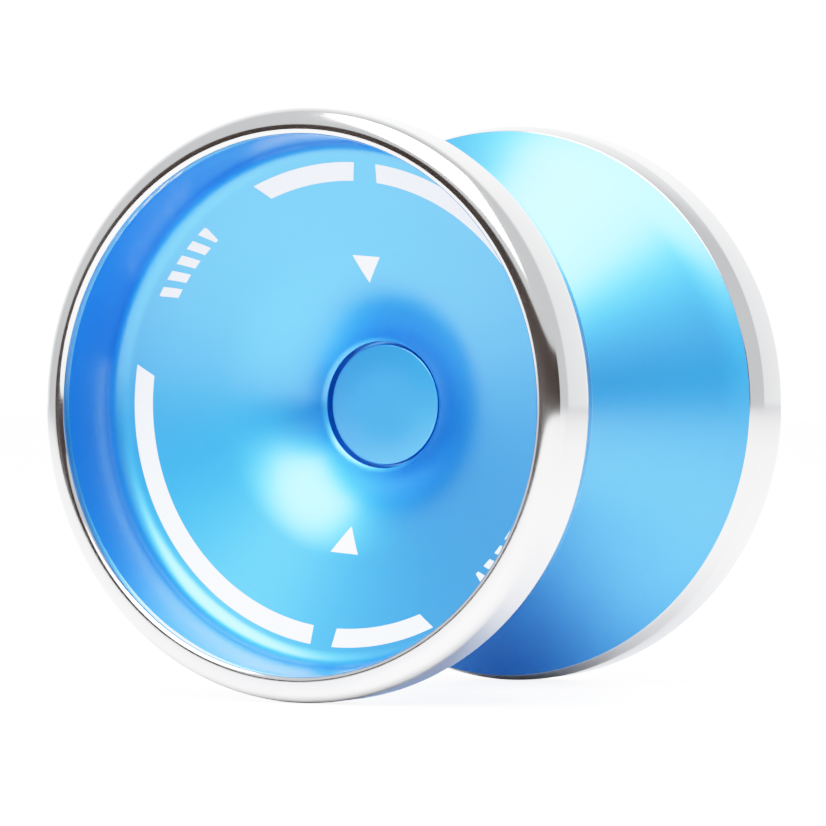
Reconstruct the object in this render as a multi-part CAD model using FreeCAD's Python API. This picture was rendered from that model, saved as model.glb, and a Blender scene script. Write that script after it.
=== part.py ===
import FreeCAD, Part
import math
import os

os.makedirs("parts", exist_ok=True)

# Yo-yo with two thin-rimmed aluminium cups, steel rim rings and a shielded ball bearing.
# Millimetres. Spin axis along Y through the origin, +Z up, front cup facing -Y.

# Overall sizes
overall_diameter = 56.0
overall_width = 50.5

# String gap and the V-shaped catch zone
string_gap = 4.6
catch_round_run = 2.6
catch_round_rise = 1.8
edge_break = 0.1

# Steel rim ring
ring_width = 7.75
ring_wall = 1.7
ring_lip_thickness = 1.05
ring_front_round = 1.85
ring_lip_round = 0.5
ring_back_taper_width = 2.1
ring_back_taper_depth = 0.55
ring_back_chamfer = 0.15
ring_seam = 0.05

# Cup inside
cup_wall = 0.9
cup_wall_draft = 0.4
cup_corner_round = 2.2
dish_corner_drop = 1.33
dish_cone_radius = 15.0
dish_cone_angle = 15.7

# Hub disc pressed into the bottom of the cup
hub_disc_radius = 5.83
hub_disc_thickness = 0.9
hub_disc_chamfer = 0.12
hub_disc_sink = 0.45
hub_groove = 0.32
hub_lip_round = 0.11
hub_spigot_wall = 1.1
hub_spigot_length = 1.35
axle_end_room = 0.34
axle_end_side_room = 0.5

# Axle, a pin with thread ridges and a hex socket in each end
axle_length = 12.0
thread_major_diameter = 4.0
thread_pitch = 0.7
socket_sides = 6
socket_across_flats = 2.0
socket_depth = 2.2
axle_tip_wall = 0.3
axle_crest_margin = 0.15
axle_bore_play = 0.05
axle_bore_lead_in = 0.25
thread_half_angle = 30.0
thread_depth_per_pitch = 0.6134
pitch_line_depth_per_pitch = 0.3248

# Ball bearing
bearing_outer_diameter = 12.7
bearing_bore = 6.35
bearing_width = 4.7625
ball_count = 10
ball_diameter = 1.5875
ball_play = 0.01
groove_conformity = 1.035
outer_land_height = 0.43
inner_land_height = 0.38
race_chamfer = 0.2
shield_thickness = 0.2
shield_inset = 0.5
shield_seat_depth = 0.4
shield_running_gap = 0.08
snap_ring_thickness = 0.22
snap_ring_height = 0.34
snap_groove_depth = 0.16
snap_ring_opening = 24.0
cage_thickness = 0.6
cage_back = 0.46
cage_front_reach = 0.55
cage_play = 0.04

# Bearing seats and response pads
seat_clearance = 0.01
post_end_gap = 0.15
post_chamfer = 0.2
shoulder_width = 0.65
bearing_pocket_clearance = 0.35
bearing_pocket_depth = 0.4
pocket_wall = 0.5
pad_width = 2.25
pad_depth = 1.2
pad_sink = 0.06
pad_lip = 0.5
pad_edge_round = 0.15

# Derived sizes
rim_radius = overall_diameter / 2
half_width = overall_width / 2
ring_back = half_width - ring_width
ring_bore = rim_radius - ring_wall
cup_mouth_radius = ring_bore - cup_wall
cup_mouth_y = half_width - ring_lip_thickness - ring_seam
face_y = string_gap / 2
bearing_half = bearing_width / 2
bearing_outer_radius = bearing_outer_diameter / 2
bore_radius = bearing_bore / 2
pitch_radius = (bearing_outer_radius + bore_radius) / 2
ball_radius = ball_diameter / 2
post_radius = bore_radius - seat_clearance
shoulder_y = bearing_half + seat_clearance
pocket_radius = bearing_outer_radius + bearing_pocket_clearance
pocket_y = bearing_half + bearing_pocket_depth
pad_inner_radius = pocket_radius + pocket_wall
pad_outer_radius = pad_inner_radius + pad_width
catch_start_radius = pad_outer_radius + pad_lip
catch_end_radius = rim_radius - ring_back_taper_depth - ring_seam
axle_half = axle_length / 2
hub_floor_y = axle_half + axle_end_room
hub_face_y = hub_floor_y + hub_disc_thickness
hub_lip_y = hub_face_y + hub_disc_sink
hub_bore_radius = hub_disc_radius + hub_groove
hub_lip_radius = hub_bore_radius + hub_lip_round
spigot_inner_radius = thread_major_diameter / 2 + axle_end_side_room
spigot_outer_radius = spigot_inner_radius + hub_spigot_wall
spigot_end_y = hub_floor_y - hub_spigot_length

# Thread form
flank_angle = math.radians(thread_half_angle)
major_radius = thread_major_diameter / 2
minor_radius = major_radius - thread_depth_per_pitch * thread_pitch
axle_bore_radius = major_radius + axle_bore_play
pitch_line_radius = major_radius - pitch_line_depth_per_pitch * thread_pitch
socket_corner_radius = socket_across_flats / 2 / math.cos(math.pi / socket_sides)
axle_tip_radius = socket_corner_radius + axle_tip_wall
axle_crest_radius = major_radius + axle_crest_margin
axle_chamfer_length = axle_crest_radius - axle_tip_radius
ridge_count = math.floor(axle_length / thread_pitch)

ORIGIN = FreeCAD.Vector(0, 0, 0)
AXIS = FreeCAD.Vector(0, 1, 0)


def at(radius, y):
    return FreeCAD.Vector(radius, y, 0)


def line(start, end):
    return Part.makeLine(start, end)


def arc(start, middle, end):
    return Part.Arc(start, middle, end).toShape()


def facing(shape, side):
    """Turn a back piece round to the front when side is -1."""
    if side < 0:
        shape.rotate(ORIGIN, FreeCAD.Vector(0, 0, 1), 180)
    return shape


def revolve(edges, side=1):
    """Turn a closed half section about the spin axis."""
    return facing(Part.Face(Part.Wire(edges)).revolve(ORIGIN, AXIS, 360), side)


def outline(points):
    """Straight closed section through the listed corners."""
    corners = points + [points[0]]
    return [line(a, b) for a, b in zip(corners, corners[1:])]


def tube(inner, outer, y_low, y_high):
    return revolve(outline([at(inner, y_low), at(outer, y_low), at(outer, y_high), at(inner, y_high)]))


def arc_leaving(start, slope_angle, end):
    """Arc from start, leaving along slope_angle, that ends at end."""
    chord = end.sub(start)
    turn = math.atan2(chord.y, chord.x) - slope_angle
    radius = chord.Length / (2 * math.sin(turn))
    centre = at(start.x - radius * math.sin(slope_angle), start.y + radius * math.cos(slope_angle))
    half_chord = start.add(chord.multiply(0.5))
    outward = half_chord.sub(centre)
    outward.normalize()
    return arc(start, centre.add(outward.multiply(abs(radius))), end)


def rounded(before, corner, after, radius):
    """Start, middle and end of the round that replaces a corner."""
    to_before = before.sub(corner)
    to_before.normalize()
    to_after = after.sub(corner)
    to_after.normalize()
    half_angle = math.acos(to_before.dot(to_after)) / 2
    setback = radius / math.tan(half_angle)
    start = corner.add(to_before * setback)
    end = corner.add(to_after * setback)
    bisector = to_before.add(to_after)
    bisector.normalize()
    middle = corner.add(bisector * (radius / math.sin(half_angle) - radius))
    return start, middle, end


def cup_body(side):
    """One aluminium half: bearing post, response face, V catch zone, rim wall and dished cup."""
    cone_angle = math.radians(dish_cone_angle)
    dish_corner = at(cup_mouth_radius - cup_wall_draft, ring_back - dish_corner_drop)
    cone_inner_y = dish_corner.y - (dish_corner.x - dish_cone_radius) * math.tan(cone_angle)
    cone_inner = at(dish_cone_radius, cone_inner_y)
    hub_lip = at(hub_lip_radius, hub_lip_y)
    mouth = at(cup_mouth_radius, cup_mouth_y)
    corner_start, corner_middle, corner_end = rounded(mouth, dish_corner, cone_inner, cup_corner_round)
    catch_end = at(catch_end_radius, ring_back - edge_break)
    catch_turn = at(catch_end_radius - catch_round_run, ring_back - edge_break - catch_round_rise)
    catch_start = at(catch_start_radius, face_y)
    catch_angle = math.atan2(catch_turn.y - catch_start.y, catch_turn.x - catch_start.x)
    lead_in_foot = at(axle_bore_radius, post_end_gap + axle_bore_lead_in)
    lead_in_mouth = at(axle_bore_radius + axle_bore_lead_in, post_end_gap)
    start_round = rounded(at(pad_outer_radius, face_y), catch_start, catch_turn, edge_break * 2)

    edges = [
        line(lead_in_foot, lead_in_mouth),
        line(lead_in_mouth, at(post_radius - post_chamfer, post_end_gap)),
        line(at(post_radius - post_chamfer, post_end_gap), at(post_radius, post_end_gap + post_chamfer)),
        line(at(post_radius, post_end_gap + post_chamfer), at(post_radius, shoulder_y)),
        line(at(post_radius, shoulder_y), at(post_radius + shoulder_width, shoulder_y)),
        line(at(post_radius + shoulder_width, shoulder_y), at(post_radius + shoulder_width, pocket_y)),
        line(at(post_radius + shoulder_width, pocket_y), at(pocket_radius, pocket_y)),
        line(at(pocket_radius, pocket_y), at(pocket_radius, face_y)),
        line(at(pocket_radius, face_y), at(pad_inner_radius, face_y)),
        line(at(pad_inner_radius, face_y), at(pad_inner_radius, face_y + pad_depth)),
        line(at(pad_inner_radius, face_y + pad_depth), at(pad_outer_radius, face_y + pad_depth)),
        line(at(pad_outer_radius, face_y + pad_depth), at(pad_outer_radius, face_y)),
        line(at(pad_outer_radius, face_y), start_round[0]),
        arc(*start_round),
        line(start_round[2], catch_turn),
        arc_leaving(catch_turn, catch_angle, catch_end),
        line(catch_end, at(catch_end_radius, ring_back)),
        line(at(catch_end_radius, ring_back), at(ring_bore, ring_back)),
        line(at(ring_bore, ring_back), at(ring_bore, cup_mouth_y)),
        line(at(ring_bore, cup_mouth_y), at(cup_mouth_radius + edge_break, cup_mouth_y)),
        line(at(cup_mouth_radius + edge_break, cup_mouth_y), at(cup_mouth_radius, cup_mouth_y - edge_break)),
        line(at(cup_mouth_radius, cup_mouth_y - edge_break), corner_start),
        arc(corner_start, corner_middle, corner_end),
        line(corner_end, cone_inner),
        arc_leaving(cone_inner, math.pi + cone_angle, hub_lip),
        line(hub_lip, at(hub_bore_radius, hub_lip_y - hub_lip_round)),
        line(at(hub_bore_radius, hub_lip_y - hub_lip_round), at(hub_bore_radius, hub_floor_y)),
        line(at(hub_bore_radius, hub_floor_y), at(spigot_outer_radius, hub_floor_y)),
        line(at(spigot_outer_radius, hub_floor_y), at(spigot_outer_radius, spigot_end_y)),
        line(at(spigot_outer_radius, spigot_end_y), at(axle_bore_radius, spigot_end_y)),
        line(at(axle_bore_radius, spigot_end_y), lead_in_foot),
    ]
    return revolve(edges, side)


def rim_ring(side):
    """Polished steel ring pressed over the rim wall, with a lip that covers the wall's edge."""
    lip_radius = cup_mouth_radius
    lip_back = half_width - ring_lip_thickness
    taper_end = ring_back + ring_back_taper_width
    back_radius = rim_radius - ring_back_taper_depth
    outer_round = rounded(at(rim_radius, taper_end), at(rim_radius, half_width),
                          at(lip_radius, half_width), ring_front_round)
    lip_round = rounded(at(rim_radius, half_width), at(lip_radius, half_width),
                        at(lip_radius, lip_back), ring_lip_round)
    edges = [
        line(at(ring_bore, ring_back), at(back_radius - ring_back_chamfer, ring_back)),
        line(at(back_radius - ring_back_chamfer, ring_back), at(back_radius, ring_back + ring_back_chamfer)),
        line(at(back_radius, ring_back + ring_back_chamfer), at(rim_radius, taper_end)),
        line(at(rim_radius, taper_end), outer_round[0]),
        arc(*outer_round),
        line(outer_round[2], lip_round[0]),
        arc(*lip_round),
        line(lip_round[2], at(lip_radius, lip_back)),
        line(at(lip_radius, lip_back), at(ring_bore, lip_back)),
        line(at(ring_bore, lip_back), at(ring_bore, ring_back)),
    ]
    return revolve(edges, side)


def hub_disc(side):
    """Flat disc at the bottom of the cup, held by a hollow spigot around the axle end."""
    return revolve(outline([
        at(0, hub_floor_y),
        at(spigot_inner_radius, hub_floor_y),
        at(spigot_inner_radius, spigot_end_y),
        at(spigot_outer_radius, spigot_end_y),
        at(spigot_outer_radius, hub_floor_y),
        at(hub_disc_radius, hub_floor_y),
        at(hub_disc_radius, hub_face_y - hub_disc_chamfer),
        at(hub_disc_radius - hub_disc_chamfer, hub_face_y),
        at(0, hub_face_y),
    ]), side)


def response_pad(side):
    """Silicone ring in its groove, a touch below the response face."""
    top = face_y + pad_sink
    bottom = face_y + pad_depth
    inner_round = rounded(at(pad_inner_radius, bottom), at(pad_inner_radius, top),
                          at(pad_outer_radius, top), pad_edge_round)
    outer_round = rounded(at(pad_inner_radius, top), at(pad_outer_radius, top),
                          at(pad_outer_radius, bottom), pad_edge_round)
    return revolve([
        arc(*inner_round),
        line(inner_round[2], outer_round[0]),
        arc(*outer_round),
        line(outer_round[2], at(pad_outer_radius, bottom)),
        line(at(pad_outer_radius, bottom), at(pad_inner_radius, bottom)),
        line(at(pad_inner_radius, bottom), inner_round[0]),
    ], side)


def half_width_at(radius):
    """Half width of a thread ridge at a radius."""
    return thread_pitch / 4 + (pitch_line_radius - radius) * math.tan(flank_angle)


def axle():
    """Headless pin with thread ridges from end to end and a hex socket in each end."""
    crest_half = half_width_at(major_radius)
    root_half = half_width_at(minor_radius)
    section = [at(0, -axle_half), at(minor_radius, -axle_half)]
    for ridge in range(ridge_count):
        middle = (ridge - (ridge_count - 1) / 2) * thread_pitch
        section.append(at(minor_radius, middle - root_half))
        section.append(at(major_radius, middle - crest_half))
        section.append(at(major_radius, middle + crest_half))
        section.append(at(minor_radius, middle + root_half))
    section.append(at(minor_radius, axle_half))
    section.append(at(0, axle_half))
    envelope = revolve(outline([
        at(0, -axle_half),
        at(axle_tip_radius, -axle_half),
        at(axle_crest_radius, axle_chamfer_length - axle_half),
        at(axle_crest_radius, axle_half - axle_chamfer_length),
        at(axle_tip_radius, axle_half),
        at(0, axle_half),
    ]))
    pin = revolve(outline(section)).common(envelope)
    for side in (-1, 1):
        corners = []
        for step in range(socket_sides + 1):
            angle = 2 * math.pi * step / socket_sides
            corners.append(FreeCAD.Vector(socket_corner_radius * math.cos(angle), side * axle_half,
                                          socket_corner_radius * math.sin(angle)))
        socket = Part.Face(Part.makePolygon(corners))
        pin = pin.cut(socket.extrude(FreeCAD.Vector(0, -side * socket_depth, 0)))
    return pin


def torus_groove(centre_radius, minor_radius):
    return Part.makeTorus(centre_radius, minor_radius, ORIGIN, AXIS)


def bearing_outer_race():
    """Outer ring with its ball groove, shield seats and snap ring grooves."""
    land = pitch_radius + ball_radius - outer_land_height
    seat = land + shield_seat_depth
    seat_y = bearing_half - shield_inset
    snap_low = seat_y + shield_thickness - ball_play
    snap_high = snap_low + snap_ring_thickness + ball_play * 2
    ring = revolve(outline([
        at(land, -seat_y), at(seat, -seat_y), at(seat, -bearing_half),
        at(bearing_outer_radius - race_chamfer, -bearing_half),
        at(bearing_outer_radius, race_chamfer - bearing_half),
        at(bearing_outer_radius, bearing_half - race_chamfer),
        at(bearing_outer_radius - race_chamfer, bearing_half),
        at(seat, bearing_half), at(seat, seat_y), at(land, seat_y),
    ]))
    groove_radius = ball_radius * groove_conformity
    ring = ring.cut(torus_groove(pitch_radius + ball_radius - groove_radius, groove_radius))
    ring = ring.cut(tube(seat - snap_groove_depth, seat + snap_groove_depth, snap_low, snap_high))
    return ring.cut(tube(seat - snap_groove_depth, seat + snap_groove_depth, -snap_high, -snap_low))


def bearing_inner_race():
    """Inner ring that sits on the two posts."""
    land = pitch_radius - ball_radius + inner_land_height
    ring = revolve(outline([
        at(bore_radius, race_chamfer - bearing_half),
        at(bore_radius + race_chamfer, -bearing_half),
        at(land - race_chamfer, -bearing_half),
        at(land, race_chamfer - bearing_half),
        at(land, bearing_half - race_chamfer),
        at(land - race_chamfer, bearing_half),
        at(bore_radius + race_chamfer, bearing_half),
        at(bore_radius, bearing_half - race_chamfer),
    ]))
    groove_radius = ball_radius * groove_conformity
    return ring.cut(torus_groove(pitch_radius - ball_radius + groove_radius, groove_radius))


def ball_centre(index):
    angle = 2 * math.pi * index / ball_count
    return FreeCAD.Vector(pitch_radius * math.cos(angle), 0, pitch_radius * math.sin(angle))


def bearing_cage():
    """Crown cage: a ring behind the balls with a pocket snapped round each one."""
    pocket = ball_radius + cage_play
    crown = tube(pitch_radius - cage_thickness / 2, pitch_radius + cage_thickness / 2,
                 -cage_front_reach, pocket + cage_back)
    for index in range(ball_count):
        crown = crown.cut(Part.makeSphere(pocket, ball_centre(index)))
    return crown


def bearing_shield(side):
    """Thin steel washer that closes the gap between the rings."""
    inner = pitch_radius - ball_radius + inner_land_height + shield_running_gap
    outer = pitch_radius + ball_radius - outer_land_height + shield_seat_depth
    low = bearing_half - shield_inset
    return facing(tube(inner, outer, low, low + shield_thickness), side)


def bearing_snap_ring(side):
    """Split spring ring that holds a shield in the outer ring."""
    outer = pitch_radius + ball_radius - outer_land_height + shield_seat_depth + snap_groove_depth
    low = bearing_half - shield_inset + shield_thickness
    ring = tube(outer - snap_ring_height, outer, low, low + snap_ring_thickness)
    half_opening = math.radians(snap_ring_opening / 2)
    reach = bearing_outer_radius
    wedge = Part.Face(Part.makePolygon([
        FreeCAD.Vector(0, 0, 0),
        FreeCAD.Vector(-reach * math.sin(half_opening), 0, reach * math.cos(half_opening)),
        FreeCAD.Vector(reach * math.sin(half_opening), 0, reach * math.cos(half_opening)),
        FreeCAD.Vector(0, 0, 0),
    ])).extrude(FreeCAD.Vector(0, bearing_half, 0))
    return facing(ring.cut(wedge), side)


def save(shape, name):
    shape.exportStep("parts/" + name + ".step")


for side, name in ((-1, "front"), (1, "back")):
    save(cup_body(side), name + "_cup")
    save(rim_ring(side), name + "_rim_ring")
    save(hub_disc(side), name + "_hub_disc")
    save(response_pad(side), name + "_response_pad")
    save(bearing_shield(side), name + "_bearing_shield")
    save(bearing_snap_ring(side), name + "_snap_ring")

save(axle(), "axle")
save(bearing_outer_race(), "bearing_outer_race")
save(bearing_inner_race(), "bearing_inner_race")
save(bearing_cage(), "bearing_cage")
for index in range(ball_count):
    save(Part.makeSphere(ball_radius - ball_play, ball_centre(index)), "bearing_ball_%02d" % (index + 1))
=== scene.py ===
import math

import bpy
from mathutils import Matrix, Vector


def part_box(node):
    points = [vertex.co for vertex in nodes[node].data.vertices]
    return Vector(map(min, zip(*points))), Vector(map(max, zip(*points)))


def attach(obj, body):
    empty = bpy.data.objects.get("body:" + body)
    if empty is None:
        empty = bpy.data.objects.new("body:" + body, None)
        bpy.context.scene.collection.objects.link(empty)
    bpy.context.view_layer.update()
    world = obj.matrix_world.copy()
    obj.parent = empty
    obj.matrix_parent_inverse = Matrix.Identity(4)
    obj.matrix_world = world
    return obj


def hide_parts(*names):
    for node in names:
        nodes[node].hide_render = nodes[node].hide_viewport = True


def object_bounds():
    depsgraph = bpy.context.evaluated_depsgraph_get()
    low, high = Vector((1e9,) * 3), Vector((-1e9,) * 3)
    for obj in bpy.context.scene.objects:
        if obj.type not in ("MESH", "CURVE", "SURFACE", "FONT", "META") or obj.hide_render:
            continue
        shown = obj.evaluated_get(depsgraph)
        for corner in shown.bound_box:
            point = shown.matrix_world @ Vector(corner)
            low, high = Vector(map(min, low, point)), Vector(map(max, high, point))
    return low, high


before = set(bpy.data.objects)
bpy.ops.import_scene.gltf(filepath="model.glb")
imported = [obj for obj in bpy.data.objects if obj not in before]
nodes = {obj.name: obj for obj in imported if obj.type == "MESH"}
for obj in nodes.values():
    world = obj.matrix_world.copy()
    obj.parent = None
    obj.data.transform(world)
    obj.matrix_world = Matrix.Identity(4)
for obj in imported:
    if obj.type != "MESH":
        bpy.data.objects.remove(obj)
cad_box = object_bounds()

MM = 0.001

# Sizes taken from the frame
ring_low, ring_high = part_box("back_rim_ring")
cup_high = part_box("back_cup")[1]
disc_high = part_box("back_hub_disc")[1]
pad_low, pad_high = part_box("back_response_pad")
rim_radius = ring_high.x
half_width = ring_high.y
ring_back = ring_low.y
cup_mouth_y = cup_high.y
hub_face_y = disc_high.y
disc_radius = 5.83 * MM
floor_z = cad_box[0].z

# The same section sizes as the CAD part
ring_bore = rim_radius - 1.7 * MM
cup_mouth_radius = rim_radius - 2.6 * MM
wall_foot_radius = cup_mouth_radius - 0.4 * MM
dish_corner_y = ring_back - 1.33 * MM
dish_cone_radius = 15.0 * MM
dish_cone_angle = math.radians(15.7)
hub_bore_radius = 6.15 * MM
hub_lip_radius = 6.26 * MM
hub_lip_y = hub_face_y + 0.45 * MM
catch_start_radius = 9.95 * MM
catch_end_radius = rim_radius - 0.6 * MM
catch_round_run = 2.6 * MM
catch_round_drop = 1.9 * MM
edge_break = 0.1 * MM
face_y = 2.3 * MM
pad_inner_radius = 7.2 * MM
pad_outer_radius = pad_high.x
pad_groove_depth = 1.2 * MM
pad_edge_round = 0.15 * MM
pocket_radius = 6.7 * MM
pocket_y = 2.78125 * MM
post_radius = 3.165 * MM
post_end = 0.15 * MM
post_chamfer = 0.2 * MM
shoulder_width = 0.65 * MM
shoulder_y = 2.39125 * MM
axle_bore_radius = 2.05 * MM
axle_bore_lead_in = 0.25 * MM
hub_floor_y = 6.34 * MM
spigot_inner_radius = 2.5 * MM
spigot_outer_radius = 3.6 * MM
spigot_end_y = 4.99 * MM
ring_lip_thickness = 1.05 * MM
ring_taper_width = 2.1 * MM
ring_taper_depth = 0.55 * MM

TURN_STEPS = 288


# ---------------------------------------------------------------- modelling helpers

def clear_selection():
    if bpy.context.object and bpy.context.object.mode != "OBJECT":
        bpy.ops.object.mode_set(mode="OBJECT")
    bpy.ops.object.select_all(action="DESELECT")


def turn_on_lathe(name, section, closed_loop, smooth_angle=38.0):
    """A chain of points (radius, depth) drawn out from one vertex and spun about the Y axis."""
    clear_selection()
    bpy.ops.mesh.primitive_plane_add(size=MM, location=(section[0][0], section[0][1], 0))
    piece = bpy.context.object
    piece.name = name
    piece.data.name = name
    bpy.ops.object.transform_apply(location=True, rotation=True, scale=True)
    bpy.ops.object.mode_set(mode="EDIT")
    bpy.ops.mesh.select_all(action="SELECT")
    bpy.ops.mesh.merge(type="CENTER")
    for (r0, y0), (r1, y1) in zip(section, section[1:]):
        bpy.ops.mesh.extrude_region_move(TRANSFORM_OT_translate={"value": (r1 - r0, y1 - y0, 0)})
    if closed_loop:
        (r0, y0), (r1, y1) = section[-1], section[0]
        bpy.ops.mesh.extrude_region_move(TRANSFORM_OT_translate={"value": (r1 - r0, y1 - y0, 0)})
    bpy.ops.mesh.select_all(action="SELECT")
    bpy.ops.mesh.remove_doubles(threshold=1e-7)
    bpy.ops.mesh.spin(steps=TURN_STEPS, angle=2 * math.pi, center=(0, 0, 0), axis=(0, 1, 0))
    bpy.ops.mesh.select_all(action="SELECT")
    bpy.ops.mesh.remove_doubles(threshold=2e-6)
    bpy.ops.mesh.normals_make_consistent(inside=False)
    bpy.ops.object.mode_set(mode="OBJECT")
    bpy.ops.object.shade_smooth_by_angle(angle=math.radians(smooth_angle))
    return piece


def copy_for_front(piece, name):
    """The back piece turned half round to the front, with a mesh of its own."""
    clear_selection()
    front = piece.copy()
    front.data = piece.data.copy()
    front.name = name
    front.data.name = name
    bpy.context.scene.collection.objects.link(front)
    front.select_set(True)
    bpy.context.view_layer.objects.active = front
    front.rotation_euler = (0, 0, math.pi)
    bpy.ops.object.transform_apply(location=True, rotation=True, scale=True)
    return front


def bend(start, corner, end, radius, count=8):
    """Points of the round that replaces the corner between two straight runs."""
    s, c, e = Vector(start), Vector(corner), Vector(end)
    to_start, to_end = (s - c).normalized(), (e - c).normalized()
    half = to_start.angle(to_end) / 2
    middle = c + (to_start + to_end).normalized() * (radius / math.sin(half))
    first = c + to_start * (radius / math.tan(half))
    last = c + to_end * (radius / math.tan(half))
    a, b = first - middle, last - middle
    sweep = a.angle(b)
    points = []
    for i in range(count + 1):
        t = i / count
        p = middle + (a * math.sin((1 - t) * sweep) + b * math.sin(t * sweep)) / math.sin(sweep)
        points.append((p.x, p.y))
    return points


def curve_from(start, slope, end, count=14):
    """Points of the arc that leaves start along slope and ends at end."""
    s, e = Vector(start), Vector(end)
    chord = e - s
    turn = math.atan2(chord.y, chord.x) - slope
    turn = (turn + math.pi) % (2 * math.pi) - math.pi
    radius = chord.length / (2 * math.sin(turn))
    centre = Vector((s.x - radius * math.sin(slope), s.y + radius * math.cos(slope)))
    points = []
    for i in range(count + 1):
        angle = slope + 2 * turn * i / count
        points.append((centre.x + radius * math.sin(angle), centre.y - radius * math.cos(angle)))
    return points


def runs(*parts):
    """One list of points from single points and lists of points."""
    out = []
    for part in parts:
        for p in ([part] if isinstance(part, tuple) else part):
            if not out or (Vector(p) - Vector(out[-1])).length > 1e-7:
                out.append(p)
    return out


# ---------------------------------------------------------------- sections

def ring_section():
    taper_end = (rim_radius, ring_back + ring_taper_width)
    back_radius = rim_radius - ring_taper_depth
    lip_back = half_width - ring_lip_thickness
    lip = (cup_mouth_radius, half_width)
    return runs(
        (ring_bore, ring_back),
        bend((ring_bore, ring_back), (back_radius, ring_back), taper_end, 0.15 * MM, 4),
        bend((back_radius, ring_back), taper_end, (rim_radius, half_width), 1.2 * MM, 3),
        bend(taper_end, (rim_radius, half_width), lip, 1.85 * MM, 18),
        bend((rim_radius, half_width), lip, (cup_mouth_radius, lip_back), 0.5 * MM, 9),
        (cup_mouth_radius, lip_back),
        (ring_bore, lip_back),
    )


def cup_section():
    dish_corner = (wall_foot_radius, dish_corner_y)
    cone_fall = (wall_foot_radius - dish_cone_radius) * math.tan(dish_cone_angle)
    cone_inner = (dish_cone_radius, dish_corner_y - cone_fall)
    mouth = (cup_mouth_radius, cup_mouth_y)
    hub_lip = (hub_lip_radius, hub_lip_y)
    catch_end = (catch_end_radius, ring_back - edge_break)
    catch_turn = (catch_end_radius - catch_round_run, ring_back - catch_round_drop)
    catch_start = (catch_start_radius, face_y)
    catch_slope = math.atan2(catch_turn[1] - face_y, catch_turn[0] - catch_start_radius)
    return runs(
        (axle_bore_radius, post_end + axle_bore_lead_in),
        (axle_bore_radius + axle_bore_lead_in, post_end),
        (post_radius - post_chamfer, post_end),
        (post_radius, post_end + post_chamfer),
        (post_radius, shoulder_y),
        (post_radius + shoulder_width, shoulder_y),
        (post_radius + shoulder_width, pocket_y),
        (pocket_radius, pocket_y),
        (pocket_radius, face_y),
        (pad_inner_radius, face_y),
        (pad_inner_radius, face_y + pad_groove_depth),
        (pad_outer_radius, face_y + pad_groove_depth),
        (pad_outer_radius, face_y),
        bend((pad_outer_radius, face_y), catch_start, catch_turn, 0.2 * MM, 3),
        catch_turn,
        curve_from(catch_turn, catch_slope, catch_end, 8),
        (catch_end_radius, ring_back),
        (ring_bore, ring_back),
        (ring_bore, cup_mouth_y),
        bend((ring_bore, cup_mouth_y), mouth, dish_corner, 0.08 * MM, 3),
        bend(mouth, dish_corner, cone_inner, 2.2 * MM, 14),
        curve_from(cone_inner, math.pi + dish_cone_angle, hub_lip, 18),
        bend((hub_lip_radius + 0.1 * MM, hub_lip_y + 0.12 * MM), (hub_bore_radius, hub_lip_y - 0.05 * MM),
             (hub_bore_radius, hub_floor_y), 0.07 * MM, 3),
        (hub_bore_radius, hub_floor_y),
        (spigot_outer_radius, hub_floor_y),
        (spigot_outer_radius, spigot_end_y),
        (axle_bore_radius, spigot_end_y),
    )


def disc_section():
    rim = (disc_radius, hub_face_y)
    return runs(
        (0.0, hub_floor_y),
        (spigot_inner_radius, hub_floor_y),
        (spigot_inner_radius, spigot_end_y),
        (spigot_outer_radius, spigot_end_y),
        (spigot_outer_radius, hub_floor_y),
        (disc_radius, hub_floor_y),
        bend((disc_radius, hub_floor_y), rim, (0.0, hub_face_y), 0.14 * MM, 4),
        (disc_radius * 0.5, hub_face_y),
        (0.0, hub_face_y),
    )


def pad_section():
    top = pad_low.y
    bottom = pad_high.y
    return runs(
        (pad_inner_radius, bottom),
        bend((pad_inner_radius, bottom), (pad_inner_radius, top), (pad_outer_radius, top), pad_edge_round, 4),
        bend((pad_inner_radius, top), (pad_outer_radius, top), (pad_outer_radius, bottom), pad_edge_round, 4),
        (pad_outer_radius, bottom),
    )


# ---------------------------------------------------------------- node helpers

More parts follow.
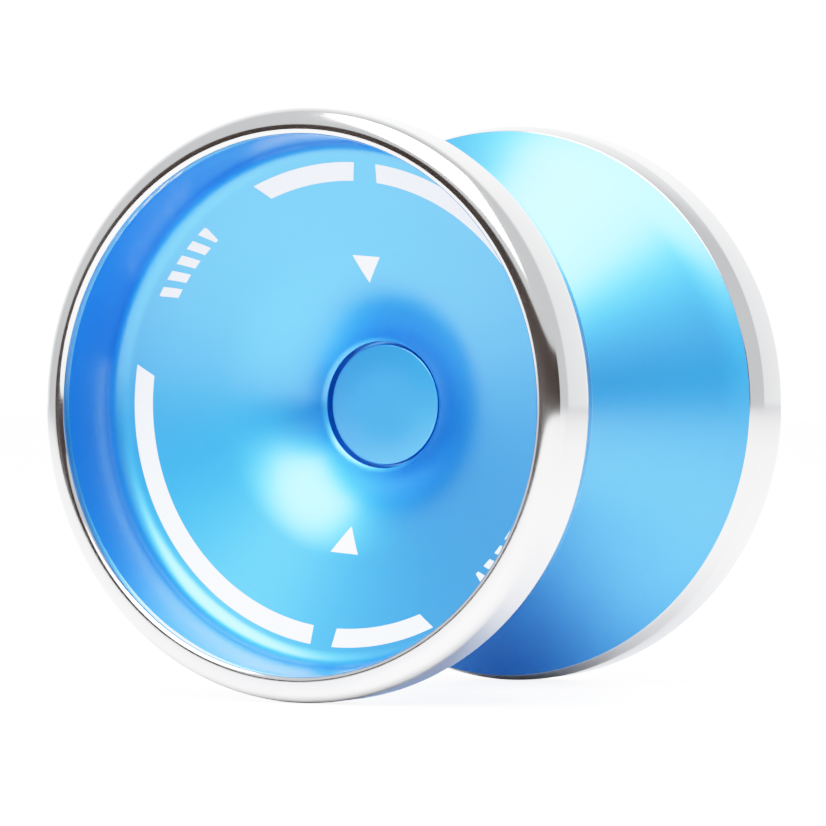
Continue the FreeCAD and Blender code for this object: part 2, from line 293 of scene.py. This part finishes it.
class Tree:
    """A material's node tree, with short calls to add and link nodes."""

    def __init__(self, name):
        self.material = bpy.data.materials.new(name)
        self.material.use_nodes = True
        self.tree = self.material.node_tree
        self.shader = self.tree.nodes["Principled BSDF"]

    def add(self, kind, **settings):
        node = self.tree.nodes.new(kind)
        for key, value in settings.items():
            setattr(node, key, value)
        return node

    def link(self, source, target):
        self.tree.links.new(source, target)

    def math(self, operation, a, b=None, clamp=False):
        node = self.add("ShaderNodeMath", operation=operation, use_clamp=clamp)
        for socket, value in zip(node.inputs, (a, b)):
            if value is None:
                continue
            if isinstance(value, (int, float)):
                socket.default_value = value
            else:
                self.link(value, socket)
        return node.outputs[0]

    def noise(self, coords, scale, detail=3.0, roughness=0.5):
        node = self.add("ShaderNodeTexNoise")
        node.inputs["Scale"].default_value = scale
        node.inputs["Detail"].default_value = detail
        node.inputs["Roughness"].default_value = roughness
        self.link(coords, node.inputs["Vector"])
        return node.outputs["Fac"]

    def range(self, value, low, high, to_low, to_high):
        node = self.add("ShaderNodeMapRange")
        for socket, number in zip(node.inputs[1:5], (low, high, to_low, to_high)):
            socket.default_value = number
        self.link(value, node.inputs[0])
        return node.outputs[0]

    def mix_colour(self, factor, a, b):
        node = self.add("ShaderNodeMix", data_type="RGBA")
        if isinstance(factor, (int, float)):
            node.inputs[0].default_value = factor
        else:
            self.link(factor, node.inputs[0])
        for socket, value in ((node.inputs[6], a), (node.inputs[7], b)):
            if isinstance(value, tuple):
                socket.default_value = value
            else:
                self.link(value, socket)
        return node.outputs[2]

    def bump(self, height, strength, distance):
        node = self.add("ShaderNodeBump")
        node.inputs["Strength"].default_value = strength
        node.inputs["Distance"].default_value = distance
        self.link(height, node.inputs["Height"])
        self.link(node.outputs[0], self.shader.inputs["Normal"])

    def set(self, **values):
        for key, value in values.items():
            self.shader.inputs[key.replace("_", " ")].default_value = value


def polar(t):
    """Object coordinates, radius and depth in millimetres, and angle round the spin axis from 0 to 180."""
    coords = t.add("ShaderNodeTexCoord").outputs["Object"]
    parts = t.add("ShaderNodeSeparateXYZ")
    t.link(coords, parts.inputs[0])
    x, y, z = parts.outputs
    squares = t.math("ADD", t.math("MULTIPLY", x, x), t.math("MULTIPLY", z, z))
    radius = t.math("MULTIPLY", t.math("SQRT", squares), 1000.0)
    side = t.math("SIGN", y)
    turned_x = t.math("MULTIPLY", x, t.math("MULTIPLY", side, -1.0))
    angle = t.math("MULTIPLY", t.math("ARCTAN2", z, turned_x), 180 / math.pi)
    half_turn = t.math("FLOORED_MODULO", t.math("ADD", angle, 360.0), 180.0)
    depth = t.math("MULTIPLY", t.math("ABSOLUTE", y), 1000.0)
    return coords, radius, half_turn, depth


def inside(t, value, low, high, soft):
    """1 where value lies between low and high, with a soft edge."""
    rise = t.math("DIVIDE", t.math("SUBTRACT", value, low), soft)
    fall = t.math("DIVIDE", t.math("SUBTRACT", high, value), soft)
    return t.math("MINIMUM", t.math("ADD", rise, 0.5, True), t.math("ADD", fall, 0.5, True))


# Laser marks on the dish, in millimetres and degrees
BAND_INNER = 21.38
BAND_OUTER = 23.11
EDGE_SOFT = 0.05
END_SOFT = 0.14
TRIANGLE_ANGLE = 85.18


def marks_mask(t, radius, angle, depth):
    """The laser marks on the dish: a broken band, a triangle and a short row of dashes, each twice."""
    band = inside(t, radius, BAND_INNER, BAND_OUTER, EDGE_SOFT)
    lean = t.math("MULTIPLY", t.math("SUBTRACT", radius, BAND_INNER), 1 / (BAND_OUTER - BAND_INNER))
    arc_a_low = t.math("SUBTRACT", 87.62, t.math("MULTIPLY", lean, 0.64))
    arc_a_high = t.math("ADD", 112.22, t.math("MULTIPLY", lean, 2.71))
    arc_a = inside(t, angle, arc_a_low, arc_a_high, END_SOFT)
    tail_high = t.math("ADD", 80.73, t.math("MULTIPLY", lean, 0.42))
    arc_b_head = inside(t, angle, -1.0, tail_high, END_SOFT)
    tail_low = t.math("SUBTRACT", 172.59, t.math("MULTIPLY", lean, 2.25))
    arc_b_tail = inside(t, angle, tail_low, 181.0, END_SOFT)
    arcs = t.math("MAXIMUM", arc_a, t.math("MAXIMUM", arc_b_head, arc_b_tail))
    band = t.math("MULTIPLY", band, arcs)

    off_axis = t.math("MULTIPLY", t.math("SUBTRACT", angle, TRIANGLE_ANGLE), math.pi / 180)
    along = t.math("MULTIPLY", radius, t.math("COSINE", off_axis))
    across = t.math("ABSOLUTE", t.math("MULTIPLY", radius, t.math("SINE", off_axis)))
    flank = t.math("MULTIPLY", t.math("SUBTRACT", along, 11.74), 1.46 / 2.5)
    from_flank = t.math("DIVIDE", t.math("SUBTRACT", flank, across), EDGE_SOFT)
    length = inside(t, along, 11.7, 14.25, EDGE_SOFT)
    triangle = t.math("MINIMUM", length, t.math("ADD", from_flank, 0.5, True))

    slant = t.math("MULTIPLY", t.math("SUBTRACT", radius, 21.0), 1.1)
    step = t.math("FLOORED_MODULO", t.math("SUBTRACT", angle, slant), 4.6)
    dash = inside(t, step, 0.9, 3.4, END_SOFT)
    dash = t.math("MULTIPLY", dash, inside(t, angle, 131.5, 152.5, END_SOFT))
    dash = t.math("MULTIPLY", dash, inside(t, radius, 21.2, 22.9, EDGE_SOFT))

    mask = t.math("MAXIMUM", band, t.math("MAXIMUM", triangle, dash))
    dish_side = t.math("SUBTRACT", depth, t.math("MULTIPLY", radius, 0.35))
    return t.math("MULTIPLY", mask, t.math("GREATER_THAN", dish_side, 6.6))


# ---------------------------------------------------------------- finishes

BLUE_DEEP = (0.0, 0.185, 0.58, 1)
BLUE_LIGHT = (0.0, 0.215, 0.66, 1)
SILVER = (0.66, 0.70, 0.76, 1)


def blasted_anodise(name, with_marks):
    t = Tree(name)
    coords, radius, angle, depth = polar(t)
    drift = t.noise(coords, 24.0, 2.0)
    grain = t.noise(coords, 5200.0, 2.0, 0.6)
    blue = t.mix_colour(t.range(drift, 0.3, 0.7, 0.0, 1.0), BLUE_DEEP, BLUE_LIGHT)
    blue = t.mix_colour(t.range(grain, 0.35, 0.65, 0.0, 0.22), blue, BLUE_LIGHT)
    rough = t.range(grain, 0.3, 0.7, 0.41, 0.47)
    if with_marks:
        mask = marks_mask(t, radius, angle, depth)
        mark_grain = t.mix_colour(t.range(grain, 0.3, 0.7, 0.0, 1.0), (0.56, 0.61, 0.68, 1), SILVER)
        blue = t.mix_colour(mask, blue, mark_grain)
        rough = t.math("ADD", rough, t.math("MULTIPLY", mask, 0.17))
        t.link(t.range(mask, 0, 1, 0.97, 0.25), t.shader.inputs["Metallic"])
    else:
        t.set(Metallic=0.97)
    t.link(blue, t.shader.inputs["Base Color"])
    t.link(rough, t.shader.inputs["Roughness"])
    t.set(Coat_Weight=0.75, Coat_Roughness=0.30, Coat_IOR=1.7)
    t.bump(grain, 0.10, 0.00006)
    return t.material


def lathe_lines(t, radius, depth, scale, detail, roughness):
    """Noise that is the same all the way round, as fine turning marks are."""
    stretched = t.add("ShaderNodeCombineXYZ")
    t.link(radius, stretched.inputs[0])
    t.link(depth, stretched.inputs[1])
    return t.noise(stretched.outputs[0], scale, detail, roughness)


def polished_steel():
    t = Tree("polished_turned_steel")
    coords, radius, _, depth = polar(t)
    lines = lathe_lines(t, radius, depth, 26.0, 3.0, 0.6)
    smudge = t.noise(coords, 60.0, 3.0)
    smudged = t.range(smudge, 0.3, 0.7, 0.0, 1.0)
    colour = t.mix_colour(smudged, (0.50, 0.495, 0.50, 1), (0.56, 0.555, 0.555, 1))
    t.link(colour, t.shader.inputs["Base Color"])
    rough = t.math("ADD", t.range(lines, 0.3, 0.7, 0.07, 0.11), t.range(smudge, 0.4, 0.7, 0.0, 0.03))
    t.link(rough, t.shader.inputs["Roughness"])
    t.set(Metallic=1.0)
    t.bump(lines, 0.05, 0.00002)
    return t.material


def ground_steel(name, colour, low, high, line_scale):
    t = Tree(name)
    _, radius, _, depth = polar(t)
    lines = lathe_lines(t, radius, depth, line_scale, 2.0, 0.5)
    darker = tuple(c * 0.8 for c in colour[:3]) + (1,)
    t.link(t.mix_colour(t.range(lines, 0.3, 0.7, 0.0, 1.0), darker, colour), t.shader.inputs["Base Color"])
    t.link(t.range(lines, 0.3, 0.7, low, high), t.shader.inputs["Roughness"])
    t.set(Metallic=1.0)
    t.bump(lines, 0.08, 0.00002)
    return t.material


def silicone():
    t = Tree("matt_silicone")
    coords = t.add("ShaderNodeTexCoord").outputs["Object"]
    dust = t.noise(coords, 900.0, 4.0, 0.6)
    t.link(t.mix_colour(t.range(dust, 0.35, 0.7, 0.0, 1.0), (0.80, 0.81, 0.80, 1), (0.88, 0.89, 0.88, 1)),
           t.shader.inputs["Base Color"])
    t.link(t.range(dust, 0.3, 0.7, 0.55, 0.7), t.shader.inputs["Roughness"])
    t.bump(dust, 0.15, 0.00003)
    return t.material


def white_table():
    t = Tree("white_table")
    coords = t.add("ShaderNodeTexCoord").outputs["Object"]
    fine = t.noise(coords, 400.0, 3.0)
    t.link(t.mix_colour(t.range(fine, 0.3, 0.7, 0.0, 1.0), (0.84, 0.84, 0.85, 1), (0.88, 0.88, 0.89, 1)),
           t.shader.inputs["Base Color"])
    seen = t.add("ShaderNodeLightPath").outputs["Is Camera Ray"]
    t.link(t.math("MULTIPLY", seen, 1.5), t.shader.inputs["Emission Strength"])
    t.set(Roughness=0.35, Emission_Color=(0.98, 0.99, 1.0, 1))
    return t.material


def dark_room():
    t = Tree("dark_room")
    coords = t.add("ShaderNodeTexCoord").outputs["Object"]
    uneven = t.noise(coords, 6.0, 2.0)
    t.link(t.mix_colour(t.range(uneven, 0.3, 0.7, 0.0, 1.0), (0.05, 0.035, 0.03, 1), (0.09, 0.06, 0.05, 1)),
           t.shader.inputs["Emission Color"])
    t.set(Base_Color=(0.0, 0.0, 0.0, 1), Emission_Strength=1.0, Roughness=1.0, Specular_IOR_Level=0.0)
    return t.material


anodise_marked = blasted_anodise("blasted_blue_anodise_marked", True)
anodise_plain = blasted_anodise("blasted_blue_anodise", False)
rim_steel = polished_steel()
race_steel = ground_steel("ground_bearing_steel", (0.62, 0.62, 0.64, 1), 0.16, 0.26, 40.0)
ball_steel = ground_steel("lapped_ball_steel", (0.74, 0.74, 0.76, 1), 0.04, 0.07, 12.0)
shield_steel = ground_steel("pressed_shield_steel", (0.58, 0.58, 0.6, 1), 0.28, 0.4, 30.0)
cage_steel = ground_steel("pressed_cage_steel", (0.52, 0.5, 0.46, 1), 0.3, 0.42, 30.0)
axle_steel = ground_steel("turned_axle_steel", (0.45, 0.45, 0.47, 1), 0.24, 0.36, 50.0)
pad_silicone = silicone()


def give(piece, material):
    piece.data.materials.clear()
    piece.data.materials.append(material)


# ---------------------------------------------------------------- the two halves

def pair(part, section, closed_loop, material, smooth_angle=38.0):
    back = turn_on_lathe("back_turned_" + part, section, closed_loop, smooth_angle)
    front = copy_for_front(back, "front_turned_" + part)
    for piece, end in ((front, "front"), (back, "back")):
        give(piece, material)
        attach(piece, end + "_half")
        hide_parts(end + "_" + part)


pair("cup", cup_section(), True, anodise_marked, 32.0)
pair("rim_ring", ring_section(), True, rim_steel, 32.0)
pair("hub_disc", disc_section(), False, anodise_plain, 38.0)
pair("response_pad", pad_section(), True, pad_silicone, 50.0)

for name, node in nodes.items():
    if "race" in name:
        give(node, race_steel)
    elif "ball" in name:
        give(node, ball_steel)
    elif "cage" in name:
        give(node, cage_steel)
    elif "shield" in name or "snap" in name:
        give(node, shield_steel)
    elif name == "axle":
        give(node, axle_steel)


# ---------------------------------------------------------------- table, light and camera

def table_top():
    clear_selection()
    bpy.ops.mesh.primitive_plane_add(size=6.0, location=(0, 0, floor_z))
    table = bpy.context.object
    table.name = "table_top"
    give(table, white_table())


def flag(name, azimuths, elevations, distance):
    """A dark curved screen that shows only in glossy reflections, round the camera's side of the object."""
    clear_selection()
    bpy.ops.mesh.primitive_plane_add(size=MM, location=(0, 0, 0))
    screen = bpy.context.object
    screen.name = name
    low, high = (math.radians(a) for a in azimuths)
    bottom, top = (distance * math.tan(math.radians(e)) for e in elevations)
    bpy.ops.object.mode_set(mode="EDIT")
    bpy.ops.mesh.select_all(action="SELECT")
    bpy.ops.mesh.merge(type="CENTER")
    start = Vector((distance * math.sin(low), -distance * math.cos(low), bottom))
    bpy.ops.transform.translate(value=start)
    bpy.ops.mesh.extrude_region_move(TRANSFORM_OT_translate={"value": (0, 0, top - bottom)})
    bpy.ops.mesh.select_all(action="SELECT")
    bpy.ops.mesh.spin(steps=32, angle=low - high, center=(0, 0, 0), axis=(0, 0, 1))
    bpy.ops.object.mode_set(mode="OBJECT")
    give(screen, dark_room())
    screen.visible_camera = False
    screen.visible_diffuse = False
    screen.visible_shadow = False
    screen.visible_transmission = False


def soft_box(name, centre, aim, width, height, power):
    data = bpy.data.lights.new(name, "AREA")
    data.shape = "RECTANGLE"
    data.size = width
    data.size_y = height
    data.energy = power
    lamp = bpy.data.objects.new(name, data)
    bpy.context.scene.collection.objects.link(lamp)
    lamp.location = centre
    lamp.rotation_euler = (Vector(aim) - Vector(centre)).to_track_quat("-Z", "Y").to_euler()
    lamp.visible_camera = False


def room_light():
    world = bpy.data.worlds.new("studio")
    bpy.context.scene.world = world
    world.use_nodes = True
    tree = world.node_tree
    make, link = tree.nodes.new, tree.links.new
    toward = make("ShaderNodeVectorMath")
    toward.operation = "DOT_PRODUCT"
    toward.inputs[1].default_value = (-0.47, 0.88, 0.0)
    link(make("ShaderNodeTexCoord").outputs["Generated"], toward.inputs[0])
    glow = make("ShaderNodeMapRange")
    for socket, number in zip(glow.inputs[1:5], (0.35, 0.95, 1.15, 3.2)):
        socket.default_value = number
    link(toward.outputs["Value"], glow.inputs[0])
    room = tree.nodes["Background"]
    room.inputs["Color"].default_value = (0.96, 0.98, 1.0, 1)
    link(glow.outputs[0], room.inputs["Strength"])
    paper = make("ShaderNodeBackground")
    paper.inputs["Color"].default_value = (1, 1, 1, 1)
    paper.inputs["Strength"].default_value = 5.0
    mix = make("ShaderNodeMixShader")
    seen = make("ShaderNodeLightPath")
    link(seen.outputs["Is Camera Ray"], mix.inputs[0])
    link(room.outputs[0], mix.inputs[1])
    link(paper.outputs[0], mix.inputs[2])
    link(mix.outputs[0], tree.nodes["World Output"].inputs["Surface"])


def response(scene):
    """A soft shoulder for the bright studio, the same in all three colours."""
    view = scene.view_settings
    view.view_transform = "Standard"
    view.use_curve_mapping = True
    mapping = view.curve_mapping
    white = 4.0
    mapping.white_level = (white, white, white)
    curve = mapping.curves[3]
    for share in (0.02, 0.05, 0.1, 0.17, 0.26, 0.37, 0.5, 0.7):
        curve.points.new(share, 1 - math.exp(-1.4 * share * white))
    curve.points[0].location = (0, 0)
    curve.points[-1].location = (1, 1)
    mapping.update()


def camera():
    data = bpy.data.cameras.new("camera")
    data.sensor_width = 36
    data.lens = 230.65
    data.clip_start = 0.05
    data.clip_end = 20
    eye = bpy.data.objects.new("camera", data)
    bpy.context.scene.collection.objects.link(eye)
    eye.location = (0.244472, -0.456581, 0.002776)
    eye.rotation_euler = (math.radians(90 - 0.403), 0, math.radians(28.243))
    bpy.context.scene.camera = eye


table_top()
flag("dark_room_band", (-38, 80), (-13, 15), 0.62)
soft_box("key_soft_box", (0.04, -0.34, 0.62), (0.0, -0.01, 0.0), 0.6, 0.9, 25.0)
room_light()
response(bpy.context.scene)
camera()
